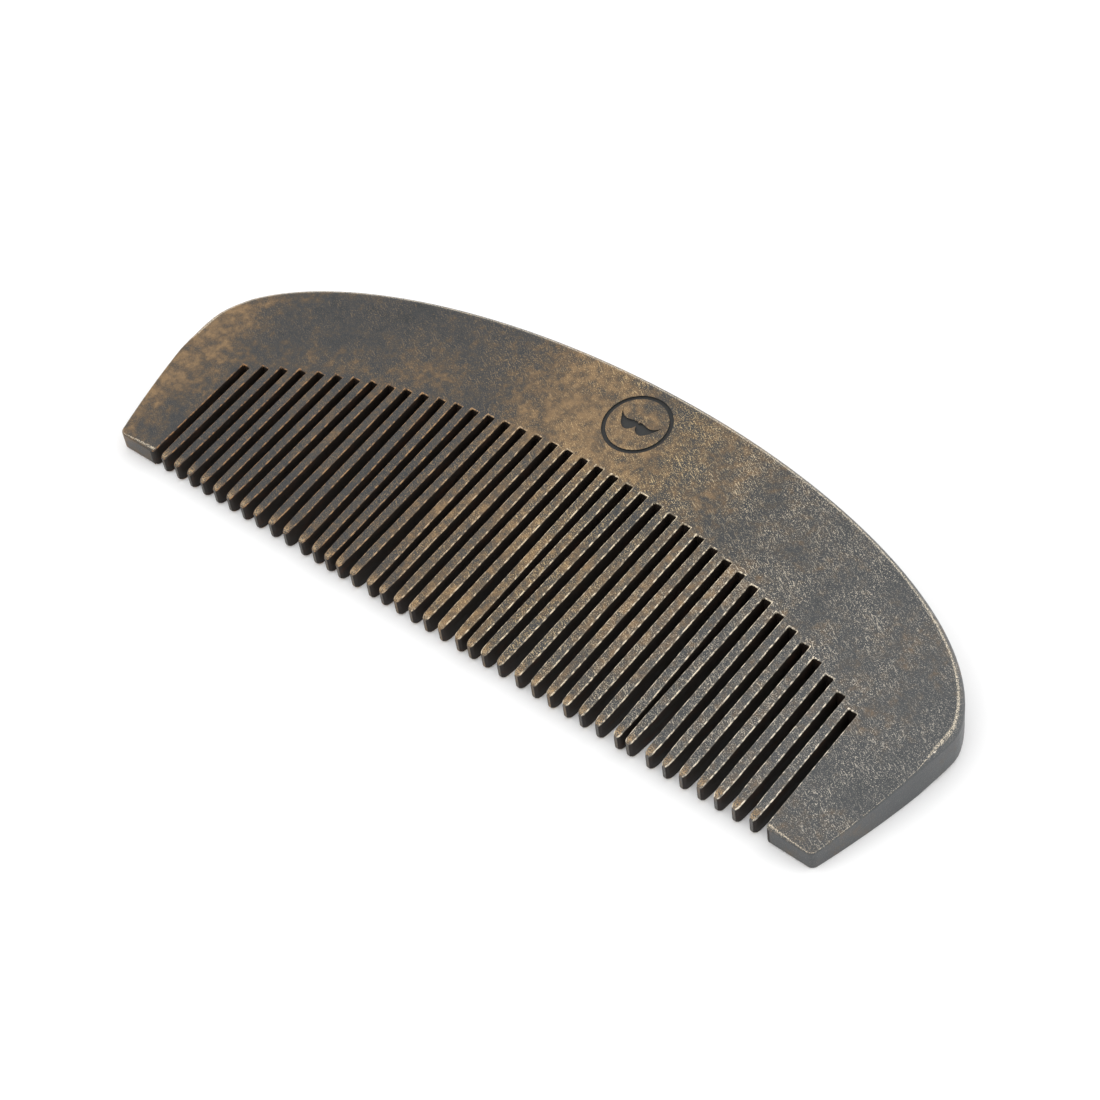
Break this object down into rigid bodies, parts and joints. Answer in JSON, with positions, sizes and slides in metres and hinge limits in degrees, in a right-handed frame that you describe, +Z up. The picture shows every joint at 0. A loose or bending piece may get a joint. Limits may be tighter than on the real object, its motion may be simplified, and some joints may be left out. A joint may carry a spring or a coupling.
{
  "type": "beard comb",
  "caption": "Half-moon pocket comb of dark wood, with fine straight teeth between two broad guard teeth and an arched back.",
  "frame": {"origin": "under the middle of the comb's bounding box, on the surface that its lower face rests on", "axes": "+X along the comb, +Y from the tips of the teeth to the arched back, +Z up out of the lower face"},
  "size_m": [0.1082, 0.0384, 0.0077],
  "materials": {
    "wood": "satin, hand-sanded dark hardwood with paler worn edges"
  },
  "bodies": {
    "root": {"back": "wood", "guard_tooth_left": "wood", "guard_tooth_right": "wood", "tooth_01": "wood", "tooth_02": "wood", "tooth_03": "wood", "tooth_04": "wood", "tooth_05": "wood", "tooth_06": "wood", "tooth_07": "wood", "tooth_08": "wood", "tooth_09": "wood", "tooth_10": "wood", "tooth_11": "wood", "tooth_12": "wood", "tooth_13": "wood", "tooth_14": "wood", "tooth_15": "wood", "tooth_16": "wood", "tooth_17": "wood", "tooth_18": "wood", "tooth_19": "wood", "tooth_20": "wood", "tooth_21": "wood", "tooth_22": "wood", "tooth_23": "wood", "tooth_24": "wood", "tooth_25": "wood", "tooth_26": "wood", "tooth_27": "wood", "tooth_28": "wood", "tooth_29": "wood", "tooth_30": "wood", "tooth_31": "wood", "tooth_32": "wood", "tooth_33": "wood", "tooth_34": "wood", "tooth_35": "wood", "tooth_36": "wood", "tooth_37": "wood", "tooth_38": "wood", "tooth_39": "wood", "tooth_40": "wood"}
  },
  "joints": []
}
